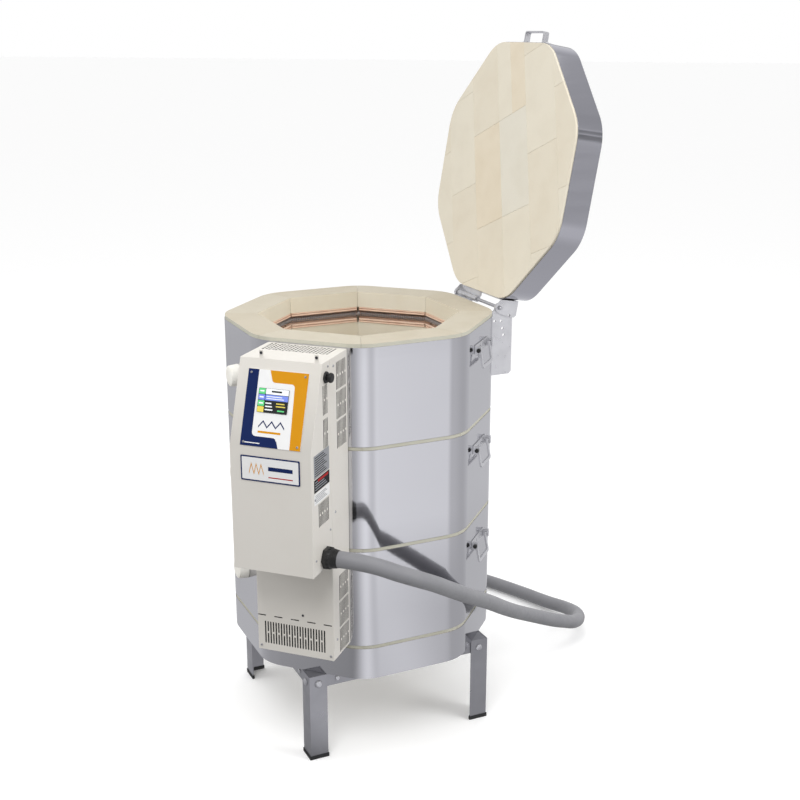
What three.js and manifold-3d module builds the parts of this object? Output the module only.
// Electric pottery kiln: three octagonal brick sections on a stand, a hinged brick lid,
// a sheet-metal connection box with a control box in front of it, and a power cord.
// Millimetres, +Z up. The kiln's axis is vertical and face 1 of the octagon looks along -Y.
import * as THREE from 'three';
import { mergeVertices } from 'three/addons/utils/BufferGeometryUtils.js';
import Module from 'manifold-3d';

const wasm = await Module();
wasm.setup();

// ---------------------------------------------------------------- driving dimensions
const GAP = 0.3;                 // running gap between touching pieces
const SIDES = 8;

const LEG_CORNER = 317;          // kiln axis to the outer corner of each leg
const LEG_FLANGE = 43;
const ANGLE_T = 3;               // thickness of the leg and rail angles
const STAND_H = 207;             // floor to the underside of the brick floor
const RAIL_H = 32;
const CAP_BASE = 3;
const CAP_H = 9;
const CAP_WALL = 1.2;

const APOTHEM = 287;             // kiln axis to the outside of a steel jacket
const CORNER_R = 96;             // radius of the jacket's eight corners
const SHEET = 1;                 // jacket sheet
const WALL = 76.2;               // three inch brick wall with its jacket
const FLOOR_H = 73;
const RING_H = 228.6;            // nine inch section
const RINGS = 3;
const SEAM_LIP = 7.5;            // bare brick showing under each jacket
const RIM_LIP = 8;               // bare brick showing above the top jacket

const GROOVE_DEPTHS = [57, 172]; // element grooves, below the top of their section
const GROOVE_H = 38;
const GROOVE_IN = 24;
const COIL_D = 13;               // outside of the coiled heating wire
const TAIL_D = 6;
const TAIL_X = 46;               // element tails each side of face 1's middle

const LID_H = 67.5;
const LID_LIP = 5;
const LID_OPEN = 100;            // degrees from closed to the rest pose
const HINGE_OUT = 306;           // kiln axis to the hinge rod
const ROD_D = 8;
const ROD_L = 222;
const ARM_X = 99;                // inside of each lid arm from the rod's middle
const EAR_T = 3;
const LOCK_R = 33;               // lid lock holes from the hinge rod
const LOCK_D = 6;
const LOCK_ANGLES = [-38, -78, -108];

const BAIL_W = 78;
const BAIL_DROP = 40;
const BAIL_D = 6;
const PLATE_W = 92;
const PLATE_H = 20;
const HANDLE_BELOW = 43;         // top of the handle plate below the top of its section

const PLUG_HEAD_D = 50;          // peephole plug, at the jacket
const PLUG_END_D = 44;
const PLUG_HEAD_L = 24;
const PLUG_STEM_D = 34;
const PLUG_TIP_D = 29;
const PLUG_STEM_L = 70;

const BOX_HALF = 88;             // half width of both boxes
const BOX_SHEET = 1.5;
const BACK_Y = -288;             // back edge of the connection box
const SPLIT_Y = -378;            // front of the connection box, back of the control box
const FRONT_Y = -477;            // lower face of the control box
const TOP_FRONT_Y = -416;
const BOX_TOP = 956;
const BEND_Z = 788;
const CONTROL_BOTTOM = 527;
const BACK_BOTTOM = 296;

const CORD_D = 35;
const GLAND_X = 107;             // outer end of the cord gland
const GLAND_Y = -417;
const GLAND_Z = 550;

const RIM_Z = STAND_H + FLOOR_H + RINGS * RING_H;
const HINGE_Z = RIM_Z + 1;
const ringTop = (index) => RIM_Z - index * RING_H;

// ---------------------------------------------------------------- materials
const paint = (color, roughness, metalness) =>
  new THREE.MeshStandardMaterial({ color, roughness, metalness });
const STEEL = paint(0xc4c4cc, 0.22, 1);
const ANGLE = paint(0x9b9ba0, 0.35, 1);
const RUBBER = paint(0x2b2b2d, 0.8, 0);
const BRICK = paint(0xe6dcc4, 0.95, 0);
const WIRE = paint(0x4a4442, 0.6, 0.8);
const CERAMIC = paint(0xf2efe6, 0.7, 0);
const WHITE_PAINT = paint(0xeeebe4, 0.45, 0.1);
const BLUE = paint(0x12224d, 0.4, 0);
const GLASS = paint(0x1b2a30, 0.15, 0);
const BLACK = paint(0x101012, 0.5, 0);
const BOARD = paint(0x1f5a34, 0.6, 0);
const COPPER = paint(0x9a6a3a, 0.5, 0.6);
const CORD_GREY = paint(0x9d9da0, 0.6, 0);

// ---------------------------------------------------------------- solids
function welded(geometry) {
  const bare = geometry.index ? geometry.toNonIndexed() : geometry.clone();
  bare.deleteAttribute('normal');
  bare.deleteAttribute('uv');
  return mergeVertices(bare, 1e-4);
}

function toSolid(geometry) {
  const g = welded(geometry);
  return new wasm.Manifold(new wasm.Mesh({
    numProp: 3,
    vertProperties: new Float32Array(g.attributes.position.array),
    triVerts: new Uint32Array(g.index.array),
  }));
}

function toGeometry(solid) {
  const mesh = solid.getMesh();
  const g = new THREE.BufferGeometry();
  g.setAttribute('position', new THREE.BufferAttribute(new Float32Array(mesh.vertProperties), 3));
  g.setIndex(new THREE.BufferAttribute(new Uint32Array(mesh.triVerts), 1));
  const flat = g.toNonIndexed();
  flat.computeVertexNormals();
  return flat;
}

function join(first, ...others) {
  return toGeometry(others.reduce((sum, g) => sum.add(toSolid(g)), toSolid(first)));
}

function cut(first, ...others) {
  return toGeometry(others.reduce((rest, g) => rest.subtract(toSolid(g)), toSolid(first)));
}

// A box given by its lowest and highest corners.
function block(low, high) {
  const size = high.map((h, i) => h - low[i]);
  const g = new THREE.BoxGeometry(...size);
  return g.translate(...low.map((l, i) => l + size[i] / 2));
}

// A cylinder or cone along X, Y or Z, starting at a point.
function rod(axis, start, length, d0, d1 = d0, segments = 20) {
  const g = new THREE.CylinderGeometry(d1 / 2, d0 / 2, length, segments);
  g.translate(0, length / 2, 0);
  if (axis === 'x') g.rotateZ(-Math.PI / 2);
  if (axis === 'z') g.rotateX(Math.PI / 2);
  return g.translate(...start);
}

// Octagon with flat faces square to the axes and rounded corners.
function octagon(apothem, radius = 0, steps = 4) {
  const half = Math.PI / SIDES;
  const reach = (apothem - radius) / Math.cos(half);
  const points = [];
  for (let side = 0; side < SIDES; side += 1) {
    const corner = half * (2 * side + 1);
    const last = radius > 0 ? steps : 0;
    for (let i = 0; i <= last; i += 1) {
      const angle = last ? corner - half + (2 * half * i) / last : corner;
      points.push(new THREE.Vector2(
        reach * Math.cos(corner) + radius * Math.cos(angle),
        reach * Math.sin(corner) + radius * Math.sin(angle),
      ));
    }
  }
  return points;
}

// Upright prism of an outline, with holes.
function prism(outline, bottom, top, holes = []) {
  const shape = new THREE.Shape(outline);
  shape.holes = holes.map((hole) => new THREE.Path(hole));
  const g = new THREE.ExtrudeGeometry(shape, { depth: top - bottom, bevelEnabled: false });
  return g.translate(0, 0, bottom);
}

// Plate drawn in Y and Z, given its thickness along X.
function sidePlate(outline, x, thickness, holes = []) {
  const shape = new THREE.Shape(outline);
  shape.holes = holes;
  const g = new THREE.ExtrudeGeometry(shape, { depth: thickness, bevelEnabled: false });
  g.rotateX(Math.PI / 2).rotateZ(Math.PI / 2);
  return g.translate(x, 0, 0);
}

function roundHole(x, y, diameter, segments = 8) {
  const points = [];
  for (let i = 0; i < segments; i += 1) {
    const angle = (-2 * Math.PI * i) / segments;
    points.push(new THREE.Vector2(
      x + (diameter / 2) * Math.cos(angle),
      y + (diameter / 2) * Math.sin(angle),
    ));
  }
  return new THREE.Path(points);
}

// Round bar or cord along a smooth curve.
function bar(curve, diameter, steps, sides) {
  const section = new THREE.Shape();
  for (let i = 0; i < sides; i += 1) {
    const angle = (2 * Math.PI * i) / sides;
    const x = (diameter / 2) * Math.cos(angle);
    const y = (diameter / 2) * Math.sin(angle);
    if (i === 0) section.moveTo(x, y);
    else section.lineTo(x, y);
  }
  section.closePath();
  return new THREE.ExtrudeGeometry(section, { steps, extrudePath: curve, bevelEnabled: false });
}

// ---------------------------------------------------------------- scene graph
const kiln = new THREE.Group();

function piece(name, geometry, material, parent = kiln) {
  const mesh = new THREE.Mesh(geometry, material);
  mesh.name = name;
  parent.add(mesh);
  return mesh;
}

// A group whose +Y looks out of the face at an angle from +X, and whose +Z stays up.
function faceGroup(degrees, parent = kiln) {
  const group = new THREE.Group();
  group.rotation.z = THREE.MathUtils.degToRad(degrees - 90);
  parent.add(group);
  return group;
}

const FRONT_FACE = -90;
const HANDLE_FACES = { right: 0, left: 180 };
const HINGE_FACE = 45;
const PEEP_FACE = 225;

// ---------------------------------------------------------------- stand
function angleOutline(size, thickness) {
  return [[0, 0], [size, 0], [size, thickness], [thickness, thickness], [thickness, size], [0, size]]
    .map(([x, y]) => new THREE.Vector2(x, y));
}

function grownAngle(size, thickness, by) {
  const inner = thickness + by;
  const end = size + by;
  return [[-by, -by], [end, -by], [end, inner], [inner, inner], [inner, end], [-by, end]]
    .map(([x, y]) => new THREE.Vector2(x, y));
}

function square(half) {
  return [[-half, -half], [half, -half], [half, half], [-half, half]]
    .map(([x, y]) => new THREE.Vector2(x, y));
}

const LEG_NAMES = { front: -90, right: 0, back: 90, left: 180 };
for (const [name, angle] of Object.entries(LEG_NAMES)) {
  const corner = new THREE.Group();
  const turn = THREE.MathUtils.degToRad(angle);
  corner.position.set(LEG_CORNER * Math.cos(turn), LEG_CORNER * Math.sin(turn), 0);
  corner.rotation.z = turn + (3 * Math.PI) / 4;
  kiln.add(corner);
  const legFoot = CAP_BASE + GAP;
  const leg = prism(angleOutline(LEG_FLANGE, ANGLE_T), legFoot, STAND_H - GAP);
  piece(`stand_leg_${name}`, leg, ANGLE, corner);
  const boot = cut(
    prism(grownAngle(LEG_FLANGE, ANGLE_T, CAP_WALL + GAP), 0, CAP_H),
    prism(grownAngle(LEG_FLANGE, ANGLE_T, GAP), CAP_BASE, CAP_H + 1),
  );
  piece(`leg_cap_${name}`, boot, RUBBER, corner);
}

const frameHalf = LEG_CORNER / Math.SQRT2 - ANGLE_T - GAP;
const frameTop = STAND_H - GAP;
const standFrame = join(
  prism(square(frameHalf), frameTop - RAIL_H, frameTop, [square(frameHalf - ANGLE_T)]),
  prism(square(frameHalf), frameTop - ANGLE_T, frameTop, [square(frameHalf - RAIL_H)]),
).rotateZ(Math.PI / 4);
piece('stand_frame', standFrame, ANGLE);

// ---------------------------------------------------------------- floor, sections and jackets
const OVERCUT = 5;               // how far a cutter runs past what it cuts
const brickOutline = () => octagon(APOTHEM - SHEET - GAP, CORNER_R - SHEET - GAP);
const jacketInside = () => octagon(APOTHEM - SHEET, CORNER_R - SHEET);
const jacketOutside = () => octagon(APOTHEM, CORNER_R);
const chamber = APOTHEM - WALL;

const floorTop = STAND_H + FLOOR_H;
piece('floor_slab', prism(brickOutline(), STAND_H, floorTop - GAP), BRICK);
piece('floor_band', prism(jacketOutside(), STAND_H, floorTop - GAP, [jacketInside()]), STEEL);

// A bore square to a face, through the jacket and the wall.
const BORE_SEGMENTS = 12;

function wallBore(degrees, z, across, diameter) {
  const start = [across, chamber - OVERCUT, z];
  const g = rod('y', start, WALL + 2 * OVERCUT, diameter, diameter, BORE_SEGMENTS);
  return g.rotateZ(THREE.MathUtils.degToRad(degrees - 90));
}

const PEEP_BORE = PLUG_STEM_D + 1.2;
const TAIL_BORE = TAIL_D + 2;
const PROBE_D = 9;
const PROBE_RING = 1;
const PROBE_BELOW = 114;

for (let ring = 0; ring < RINGS; ring += 1) {
  const top = ringTop(ring);
  const bottom = top - RING_H;
  const grooves = GROOVE_DEPTHS.map((below) => {
    const middle = top - below;
    const low = middle - GROOVE_H / 2;
    return prism(octagon(chamber + GROOVE_IN), low, low + GROOVE_H, [octagon(chamber - OVERCUT)]);
  });
  const bores = [wallBore(PEEP_FACE, top - RING_H / 2, 0, PEEP_BORE)];
  for (const below of GROOVE_DEPTHS) {
    bores.push(wallBore(FRONT_FACE, top - below, TAIL_X, TAIL_BORE));
    bores.push(wallBore(FRONT_FACE, top - below, -TAIL_X, TAIL_BORE));
  }
  if (ring === PROBE_RING) bores.push(wallBore(FRONT_FACE, top - PROBE_BELOW, 0, PROBE_D + 1));
  const brick = prism(brickOutline(), bottom, top - GAP, [octagon(chamber)]);
  piece(`ring_brick_${ring + 1}`, cut(brick, ...grooves, ...bores), BRICK);
  const jacketTop = ring === 0 ? top - RIM_LIP : top - GAP;
  const jacket = prism(jacketOutside(), bottom + SEAM_LIP, jacketTop, [jacketInside()]);
  piece(`ring_jacket_${ring + 1}`, cut(jacket, ...bores), STEEL);
}

// ---------------------------------------------------------------- heating elements
// Each section has one circuit: a lap in each groove, joined by a jumper outside the wall,
// with two free tails left to connect.
const coilApothem = chamber + GROOVE_IN / 2;
const TAIL_OUT = 22;

function coilLap(z) {
  const half = COIL_D / 2;
  return prism(octagon(coilApothem + half), z - half, z + half, [octagon(coilApothem - half)]);
}

for (let ring = 0; ring < RINGS; ring += 1) {
  const [upper, lower] = GROOVE_DEPTHS.map((below) => ringTop(ring) - below);
  const outEnd = -(APOTHEM + TAIL_OUT);
  const tail = (x, z) => rod('y', [x, outEnd, z], -coilApothem - outEnd, TAIL_D, TAIL_D, 10);
  const wire = TAIL_D / 2;
  const jumper = block(
    [TAIL_X - wire, outEnd - wire, lower - wire],
    [TAIL_X + wire, outEnd + wire, upper + wire],
  );
  const circuit = join(
    coilLap(upper), coilLap(lower), jumper,
    tail(TAIL_X, upper), tail(TAIL_X, lower), tail(-TAIL_X, upper), tail(-TAIL_X, lower),
  );
  piece(`heating_element_${ring + 1}`, circuit, WIRE);
}

// Ceramic tube of the thermocouple, through the front wall into the chamber.
const probeZ = ringTop(PROBE_RING) - PROBE_BELOW;
const PROBE_REACH = 45;          // into the chamber
const PROBE_HEAD = [36, 16, 24];
const HEAD_OUT = APOTHEM + 40;   // kiln axis to the outside of the head
const [headX, headY, headZ] = PROBE_HEAD;
const tubeStart = headY - HEAD_OUT - 2;
const probe = join(
  rod('y', [0, tubeStart, probeZ], PROBE_REACH - chamber - tubeStart, PROBE_D, PROBE_D, 12),
  block([-headX / 2, -HEAD_OUT, probeZ - headZ / 2], [headX / 2, headY - HEAD_OUT, probeZ + headZ / 2]),
);
piece('thermocouple', probe, CERAMIC);

// ---------------------------------------------------------------- peephole plugs
for (let ring = 0; ring < RINGS; ring += 1) {
  const face = faceGroup(PEEP_FACE);
  const head = rod('y', [0, APOTHEM + GAP, 0], PLUG_HEAD_L, PLUG_HEAD_D, PLUG_END_D, 32);
  const stem = rod('y', [0, APOTHEM - PLUG_STEM_L, 0], PLUG_STEM_L + 2, PLUG_TIP_D, PLUG_STEM_D, 24);
  const plug = piece(`peephole_plug_${ring + 1}`, join(head, stem), CERAMIC, face);
  plug.position.z = ringTop(ring) - RING_H / 2;
}

// ---------------------------------------------------------------- section handles
// A riveted plate with two lugs, and a bail that hangs from them, a little clear of the jacket, and swings up.
const LUG_W = 5;
const LUG_X = BAIL_W / 2 + 4;
const LUG_OUT = 15;
const PIVOT_OUT = 9;
const PIVOT_Z = -PLATE_H / 2 - 1;
const PIN_BORE = BAIL_D + 1;
const BAIL_TILT = THREE.MathUtils.degToRad(10);
const PLATE_T = 2;

function handlePlate() {
  const plate = block([-PLATE_W / 2, 0, -PLATE_H], [PLATE_W / 2, PLATE_T, 0]);
  const lugs = [-1, 1].map((side) => block(
    [side * LUG_X - LUG_W / 2, 0, -PLATE_H],
    [side * LUG_X + LUG_W / 2, LUG_OUT, -2],
  ));
  const pinBores = [-1, 1].map((side) => (
    rod('x', [side * LUG_X - LUG_W, PIVOT_OUT, PIVOT_Z], 2 * LUG_W, PIN_BORE, PIN_BORE, 10)
  ));
  return cut(join(plate, ...lugs), ...pinBores);
}

// The bail is a flat U with a round pin at each end.
function bail() {
  const outer = BAIL_W / 2 - 1;
  const inner = outer - BAIL_D;
  const foot = -BAIL_DROP - BAIL_D / 2;
  const chamfer = 5;
  const shape = [
    [outer, BAIL_D / 2], [inner, BAIL_D / 2], [inner, foot + BAIL_D], [-inner, foot + BAIL_D],
    [-inner, BAIL_D / 2], [-outer, BAIL_D / 2], [-outer, foot + chamfer], [-outer + chamfer, foot],
    [outer - chamfer, foot], [outer, foot + chamfer],
  ].map(([x, z]) => new THREE.Vector2(x, z));
  const flat = new THREE.ExtrudeGeometry(new THREE.Shape(shape), { depth: BAIL_D, bevelEnabled: false });
  flat.rotateX(Math.PI / 2).translate(0, BAIL_D / 2, 0);
  const pins = [-1, 1].map((side) => (
    rod('x', [side > 0 ? outer - 2 : -LUG_X - LUG_W, 0, 0], LUG_X + LUG_W - outer + 2, BAIL_D, BAIL_D, 10)
  ));
  return join(flat, ...pins);
}

for (const [side, degrees] of Object.entries(HANDLE_FACES)) {
  for (let ring = 0; ring < RINGS; ring += 1) {
    const face = faceGroup(degrees);
    const mount = new THREE.Group();
    mount.position.set(0, APOTHEM + GAP, ringTop(ring) - HANDLE_BELOW);
    face.add(mount);
    piece(`handle_plate_${side}_${ring + 1}`, handlePlate(), STEEL, mount);
    const hanging = piece(`handle_bail_${side}_${ring + 1}`, bail(), STEEL, mount);
    hanging.position.set(0, PIVOT_OUT, PIVOT_Z);
    hanging.rotation.x = BAIL_TILT;
  }
}

// ---------------------------------------------------------------- lid hinge
// Local axes at the rod: X along the rod, Y out from the kiln, Z up.
const hinge = new THREE.Group();
hinge.position.set(0, HINGE_OUT, HINGE_Z);
faceGroup(HINGE_FACE).add(hinge);

const faceY = APOTHEM - HINGE_OUT;      // outside of the jacket, from the rod
const webY = faceY + GAP;
const WEB_T = 2;
const ROD_BORE = ROD_D + 1;
const EAR_GAP = 0.6;
const KNUCKLE_D = 14;
const ringEarX = ARM_X - EAR_GAP - EAR_T;

const outline = (pairs) => pairs.map(([y, z]) => new THREE.Vector2(y, z));
const rodBore = () => rod('x', [-ROD_L / 2 - 10, 0, 0], ROD_L + 20, ROD_BORE, ROD_BORE, 16);

function polar(radius, degrees) {
  const angle = THREE.MathUtils.degToRad(degrees);
  return [radius * Math.cos(angle), radius * Math.sin(angle)];
}

// The ears of the section's bracket: a long one with the lid lock holes, and a short one.
const LONG_DROP = 160;
const SHORT_DROP = 70;
const EAR_REACH = 36;
const WEB_TOP = -12;

function ringEar(x, drop, holes) {
  const shape = outline([
    [webY, -drop], [EAR_REACH - 6, -drop], [EAR_REACH, -drop + 6], [EAR_REACH, -16], [30, -10],
    [11, -3], [10, 5], [6, 9], [0, 11], [-6, 9], [-10, 5], [-11, -4], [webY, WEB_TOP],
  ]);
  return sidePlate(shape, x, EAR_T, holes);
}

const lockHoles = LOCK_ANGLES.map((degrees) => roundHole(...polar(LOCK_R, degrees), LOCK_D));
const spareHoles = [[11, -50], [14, -66]].map(([y, z]) => roundHole(y, z, LOCK_D));

// Knuckles stand along the rod on the left half, section and lid in turn.
const KNUCKLE_L = 22;
const KNUCKLE_PITCH = 23;
const knuckleX = (index) => -ringEarX + 1 + index * KNUCKLE_PITCH;

function knuckle(index, strip) {
  const x = knuckleX(index);
  const barrel = rod('x', [x, 0, 0], KNUCKLE_L, KNUCKLE_D, KNUCKLE_D, 16);
  return [barrel, block([x, strip.y0, strip.z0], [x + KNUCKLE_L, -1, strip.z1])];
}

const ringStrip = { y0: webY, z0: WEB_TOP - 2, z1: -4 };
const ringBracket = cut(
  join(
    block([-ringEarX, webY, -LONG_DROP], [ringEarX + EAR_T, webY + WEB_T, WEB_TOP]),
    block([-ringEarX, webY, WEB_TOP - 2.5], [0, -8, WEB_TOP]),
    ringEar(-ringEarX - EAR_T, SHORT_DROP, []),
    block([-ringEarX - EAR_T, webY, -SHORT_DROP], [-ringEarX + 1, webY + WEB_T, WEB_TOP - 2]),
    ringEar(ringEarX, LONG_DROP, [...lockHoles, ...spareHoles]),
    ...knuckle(0, ringStrip), ...knuckle(2, ringStrip),
  ),
  rodBore(),
);
piece('ring_hinge_bracket', ringBracket, STEEL, hinge);
piece('hinge_rod', rod('x', [-ROD_L / 2, 0, 0], ROD_L, ROD_D, ROD_D, 20), STEEL, hinge);

// ---------------------------------------------------------------- lid, drawn closed and swung open
const lid = new THREE.Group();
lid.rotation.x = THREE.MathUtils.degToRad(-LID_OPEN);
hinge.add(lid);

const lidBottom = RIM_Z - HINGE_Z + GAP;
const lidTop = lidBottom + LID_H;
const centred = (geometry) => geometry.translate(0, -HINGE_OUT, 0);
piece('lid_slab', centred(prism(brickOutline(), lidBottom, lidTop)), BRICK, lid);
const lidBand = prism(jacketOutside(), lidBottom + LID_LIP, lidTop, [jacketInside()]);
piece('lid_band', centred(lidBand), STEEL, lid);

const ARM_TOP = 47;
const ARM_REACH = 19.5;

function lidArm(x) {
  const shape = outline([
    [webY, ARM_TOP], [webY, 1], [-11, -4], [-6, -9], [0, -11], [6, -9], [10, -5],
    [14, 4], [ARM_REACH, 28], [ARM_REACH, ARM_TOP - 5], [ARM_REACH - 5, ARM_TOP],
  ]);
  const lockHole = roundHole(...polar(LOCK_R, LOCK_ANGLES[0] + LID_OPEN), LOCK_D);
  return sidePlate(shape, x, EAR_T, x > 0 ? [lockHole] : []);
}

const lidStrip = { y0: webY, z0: 4, z1: 7 };
const LEAF_BOTTOM = 6;
const lidBracket = cut(
  join(
    block([-ARM_X - EAR_T, webY, LEAF_BOTTOM], [ARM_X + EAR_T, webY + WEB_T, ARM_TOP]),
    block([-ringEarX + 1, webY, 4.5], [0, -8, 7]),
    lidArm(-ARM_X - EAR_T), lidArm(ARM_X),
    ...knuckle(1, lidStrip), ...knuckle(3, lidStrip),
  ),
  rodBore(),
);
piece('lid_hinge_bracket', lidBracket, STEEL, lid);

// Strip handle on the side of the lid away from the hinge.
const GRIP_HALF = 38;
const GRIP_OUT = 25;
const GRIP_STRIP = 14;
const GRIP_T = 3;
const FLANGE = 20;
const gripOutline = [
  [-GRIP_HALF - FLANGE, 0], [-GRIP_HALF, 0], [-GRIP_HALF, GRIP_OUT - 4], [-GRIP_HALF + 4, GRIP_OUT],
  [GRIP_HALF - 4, GRIP_OUT], [GRIP_HALF, GRIP_OUT - 4], [GRIP_HALF, 0], [GRIP_HALF + FLANGE, 0],
  [GRIP_HALF + FLANGE, GRIP_T], [GRIP_HALF + GRIP_T, GRIP_T], [GRIP_HALF + GRIP_T, GRIP_OUT - 3],
  [GRIP_HALF - 3, GRIP_OUT + GRIP_T], [-GRIP_HALF + 3, GRIP_OUT + GRIP_T],
  [-GRIP_HALF - GRIP_T, GRIP_OUT - 3], [-GRIP_HALF - GRIP_T, GRIP_T], [-GRIP_HALF - FLANGE, GRIP_T],
].map(([x, out]) => new THREE.Vector2(x, -out));
const gripMiddle = (lidBottom + lidTop) / 2;
const lidHandle = prism(gripOutline.reverse(), gripMiddle - GRIP_STRIP / 2, gripMiddle + GRIP_STRIP / 2);
lidHandle.translate(0, -HINGE_OUT - APOTHEM - GAP, 0);
piece('lid_handle', lidHandle, STEEL, lid);

// ---------------------------------------------------------------- connection box
const WINDOW_X = 70;             // half width of the two windows in its front
const UPPER_WINDOW = [570, 926];
const LOWER_WINDOW = [321, 510];
const windowCut = ([low, high]) => block(
  [-WINDOW_X, SPLIT_Y - OVERCUT, low],
  [WINDOW_X, SPLIT_Y + OVERCUT, high],
);
const backBox = cut(
  block([-BOX_HALF, SPLIT_Y, BACK_BOTTOM], [BOX_HALF, BACK_Y, BOX_TOP]),
  block(
    [-BOX_HALF + BOX_SHEET, SPLIT_Y + BOX_SHEET, BACK_BOTTOM + BOX_SHEET],
    [BOX_HALF - BOX_SHEET, BACK_Y + OVERCUT, BOX_TOP - BOX_SHEET],
  ),
  windowCut(UPPER_WINDOW),
  windowCut(LOWER_WINDOW),
);
piece('connection_box', backBox, WHITE_PAINT);

const coverFront = SPLIT_Y - GAP - BOX_SHEET;
const cover = block(
  [-BOX_HALF, coverFront, BACK_BOTTOM],
  [BOX_HALF, SPLIT_Y - GAP, CONTROL_BOTTOM - GAP],
);
piece('connection_cover', cover, WHITE_PAINT);

// ---------------------------------------------------------------- control box
const boxBack = SPLIT_Y - GAP;
const slopeRun = FRONT_Y - TOP_FRONT_Y;
const slopeRise = BOX_TOP - BEND_Z;
const slope = Math.atan2(-slopeRun, slopeRise);

const controlOutline = (inset, back) => outline([
  [back, CONTROL_BOTTOM + inset],
  [back, BOX_TOP - inset],
  [TOP_FRONT_Y + inset, BOX_TOP - inset],
  [FRONT_Y + inset, BEND_Z],
  [FRONT_Y + inset, CONTROL_BOTTOM + inset],
]);
const SWITCH_Y = -400;
const SWITCH_Z = 925;
const SWITCH_HOLE = 16;
const GLAND_HOLE = 24;
const TAB_W = 9;
const TAB_H = 17;
const TABS_X = [-42, 77];
const sideHole = (y, z, diameter) => rod(
  'x', [BOX_HALF - OVERCUT, y, z], 2 * OVERCUT, diameter, diameter, 16,
);
const tab = (x) => block(
  [x - TAB_W / 2, TOP_FRONT_Y, BOX_TOP - 2],
  [x + TAB_W / 2, TOP_FRONT_Y + BOX_SHEET, BOX_TOP + TAB_H],
);
const controlShell = cut(
  join(sidePlate(controlOutline(0, boxBack), -BOX_HALF, 2 * BOX_HALF), ...TABS_X.map(tab)),
  sidePlate(
    controlOutline(BOX_SHEET, boxBack + OVERCUT),
    -BOX_HALF + BOX_SHEET,
    2 * (BOX_HALF - BOX_SHEET),
  ),
  sideHole(GLAND_Y, GLAND_Z, GLAND_HOLE),
  sideHole(SWITCH_Y, SWITCH_Z, SWITCH_HOLE),
);
piece('control_box', controlShell, WHITE_PAINT);

// The display stands on the leaning face. Local axes: X across, Y into the box, Z up the slope.
const panelGroup = new THREE.Group();
panelGroup.position.set(0, FRONT_Y, BEND_Z);
panelGroup.rotation.x = -slope;
kiln.add(panelGroup);
const PANEL_T = 1.5;
const SCREEN_T = 1;
const PLATE_THICK = 1.2;
const panel = block([-65, -GAP - PANEL_T, 5], [65, -GAP, 157]);
piece('display_panel', panel, BLUE, panelGroup);
const screenBack = -2 * GAP - PANEL_T;
const screen = block([-37, screenBack - SCREEN_T, 73], [28, screenBack, 121]);
piece('touchscreen', screen, GLASS, panelGroup);
const nameplate = block([-64, FRONT_Y - GAP - PLATE_THICK, 721], [64, FRONT_Y - GAP, 773]);
piece('nameplate', nameplate, WHITE_PAINT);

// Controller board behind the display, transformer, relays and terminal block in the box.
piece('control_board', block([-55, 14, 20], [55, 16, 140]), BOARD, panelGroup);
piece('transformer', block([20, -440, 560], [65, -400, 605]), COPPER);
const RELAYS = 3;
const RELAY_PITCH = 44;
for (let i = 0; i < RELAYS; i += 1) {
  const x = -62 + i * RELAY_PITCH;
  const relay = join(
    block([x - 17, -430, 660], [x + 17, -400, 715]),
    block([x - 20, -400.5, 650], [x + 20, -397, 725]),
  );
  piece(`power_relay_${i + 1}`, relay, BLACK);
}
const terminals = join(
  block([-70, -405, 560], [0, -395, 600]),
  ...[-60, -42, -24, -6].map((x) => block([x - 5, -425, 565], [x + 5, -404, 595])),
);
piece('power_terminal_block', terminals, BLACK);

// Power switch on the right side: a threaded body with its bezel, and the button in it.
const switchBody = cut(
  join(
    rod('x', [BOX_HALF - 22, SWITCH_Y, SWITCH_Z], 24, 15, 15, 20),
    rod('x', [BOX_HALF + GAP, SWITCH_Y, SWITCH_Z], 4, 24, 22, 24),
  ),
  rod('x', [BOX_HALF - 6, SWITCH_Y, SWITCH_Z], 20, 12, 12, 20),
);
piece('power_switch_body', switchBody, BLACK);
const button = join(
  rod('x', [BOX_HALF - 1.5, SWITCH_Y, SWITCH_Z], 10, 11, 11, 20),
  rod('x', [BOX_HALF + 8, SWITCH_Y, SWITCH_Z], 8, 20, 18, 24),
);
piece('power_button', button, BLACK);

const gland = join(
  rod('x', [BOX_HALF + GAP, GLAND_Y, GLAND_Z], 9, 47, 47, 6),
  rod('x', [BOX_HALF + 8, GLAND_Y, GLAND_Z], GLAND_X - BOX_HALF - 8, 44, 38, 20),
  rod('x', [BOX_HALF - 14, GLAND_Y, GLAND_Z], 16, 22, 22, 20),
);
piece('cord_gland', gland, BLACK);

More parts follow.
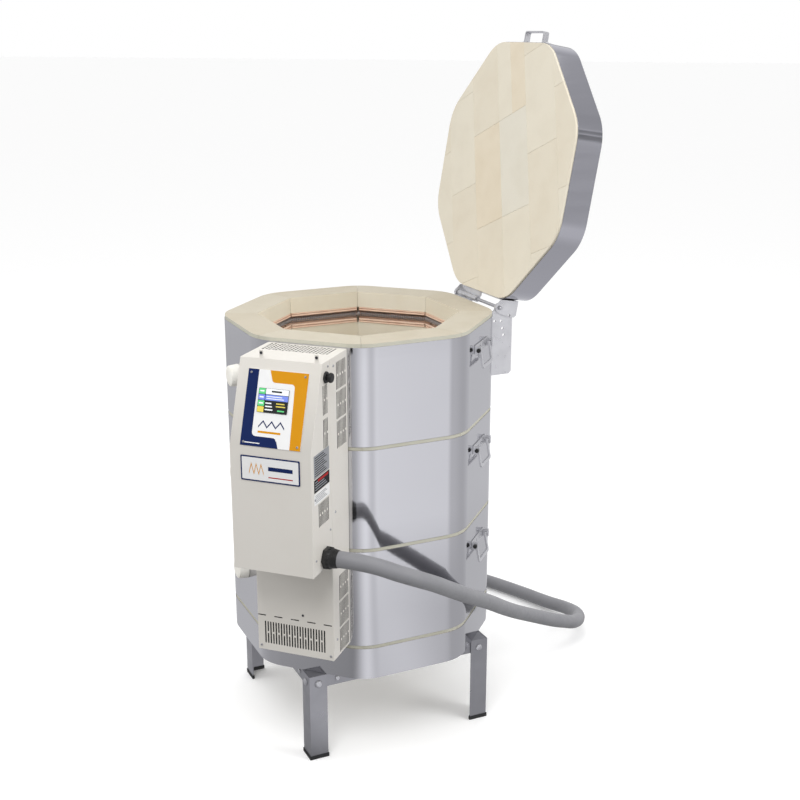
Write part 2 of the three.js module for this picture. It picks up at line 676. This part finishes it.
// ---------------------------------------------------------------- power cord
// Straight out of the gland, round the kiln's right side as it comes down to the floor,
// then along the floor behind the kiln to the plug.
const CORD_LIE = CORD_D / 2 + 0.5;     // height of its middle where it lies on the floor
const PLUG_Z = 27;
const cordRoute = [
  [GLAND_X + 1, GLAND_Y, GLAND_Z], [143, -417, 550], [192, -408, 543], [236, -383, 522],
  [268, -345, 497], [284, -308, 475], [297, -252, 441], [312, -175, 395], [328, -50, 325],
  [345, 95, 240], [371, 232, 165], [407, 319, 118], [425, 361, 98], [438, 401, 80],
  [438, 472, 58], [420, 528, 44], [383, 573, 32], [326, 607, 24], [223, 661, CORD_LIE],
  [118, 699, CORD_LIE], [20, 724, CORD_LIE], [-45, 728, 22], [-100, 728, PLUG_Z],
  [-140, 728, PLUG_Z],
].map((point) => new THREE.Vector3(...point));
const cordCurve = new THREE.CatmullRomCurve3(cordRoute, false, 'centripetal');
piece('power_cord', bar(cordCurve, CORD_D, 64, 8), CORD_GREY);

const cordEnd = cordRoute.at(-1);
const plugX = cordEnd.x - 1;
const plugY = cordEnd.y;
const blade = (y, z, w, h) => block(
  [plugX - 96, plugY + y - w / 2, PLUG_Z + z - h / 2],
  [plugX - 68, plugY + y + w / 2, PLUG_Z + z + h / 2],
);
const plug = join(
  rod('x', [plugX - 22, plugY, PLUG_Z], 22, 48, 40, 24),
  block([plugX - 70, plugY - 27, 1], [plugX - 20, plugY + 27, 2 * PLUG_Z - 1]),
  blade(-12, 6, 2, 9), blade(12, 6, 2, 9), blade(0, -12, 6, 6),
);
piece('power_plug', plug, BLACK);

// ---------------------------------------------------------------- origin
// Middle of the footprint of everything but the cord and its plug, on the floor.
const CORD_PIECES = ['power_cord', 'power_plug'];
const footprint = new THREE.Box3();
kiln.updateMatrixWorld(true);
kiln.traverse((node) => {
  if (node.isMesh && !CORD_PIECES.includes(node.name)) footprint.expandByObject(node, true);
});
const middle = footprint.getCenter(new THREE.Vector3());
kiln.position.set(-middle.x, -middle.y, 0);

export default kiln;
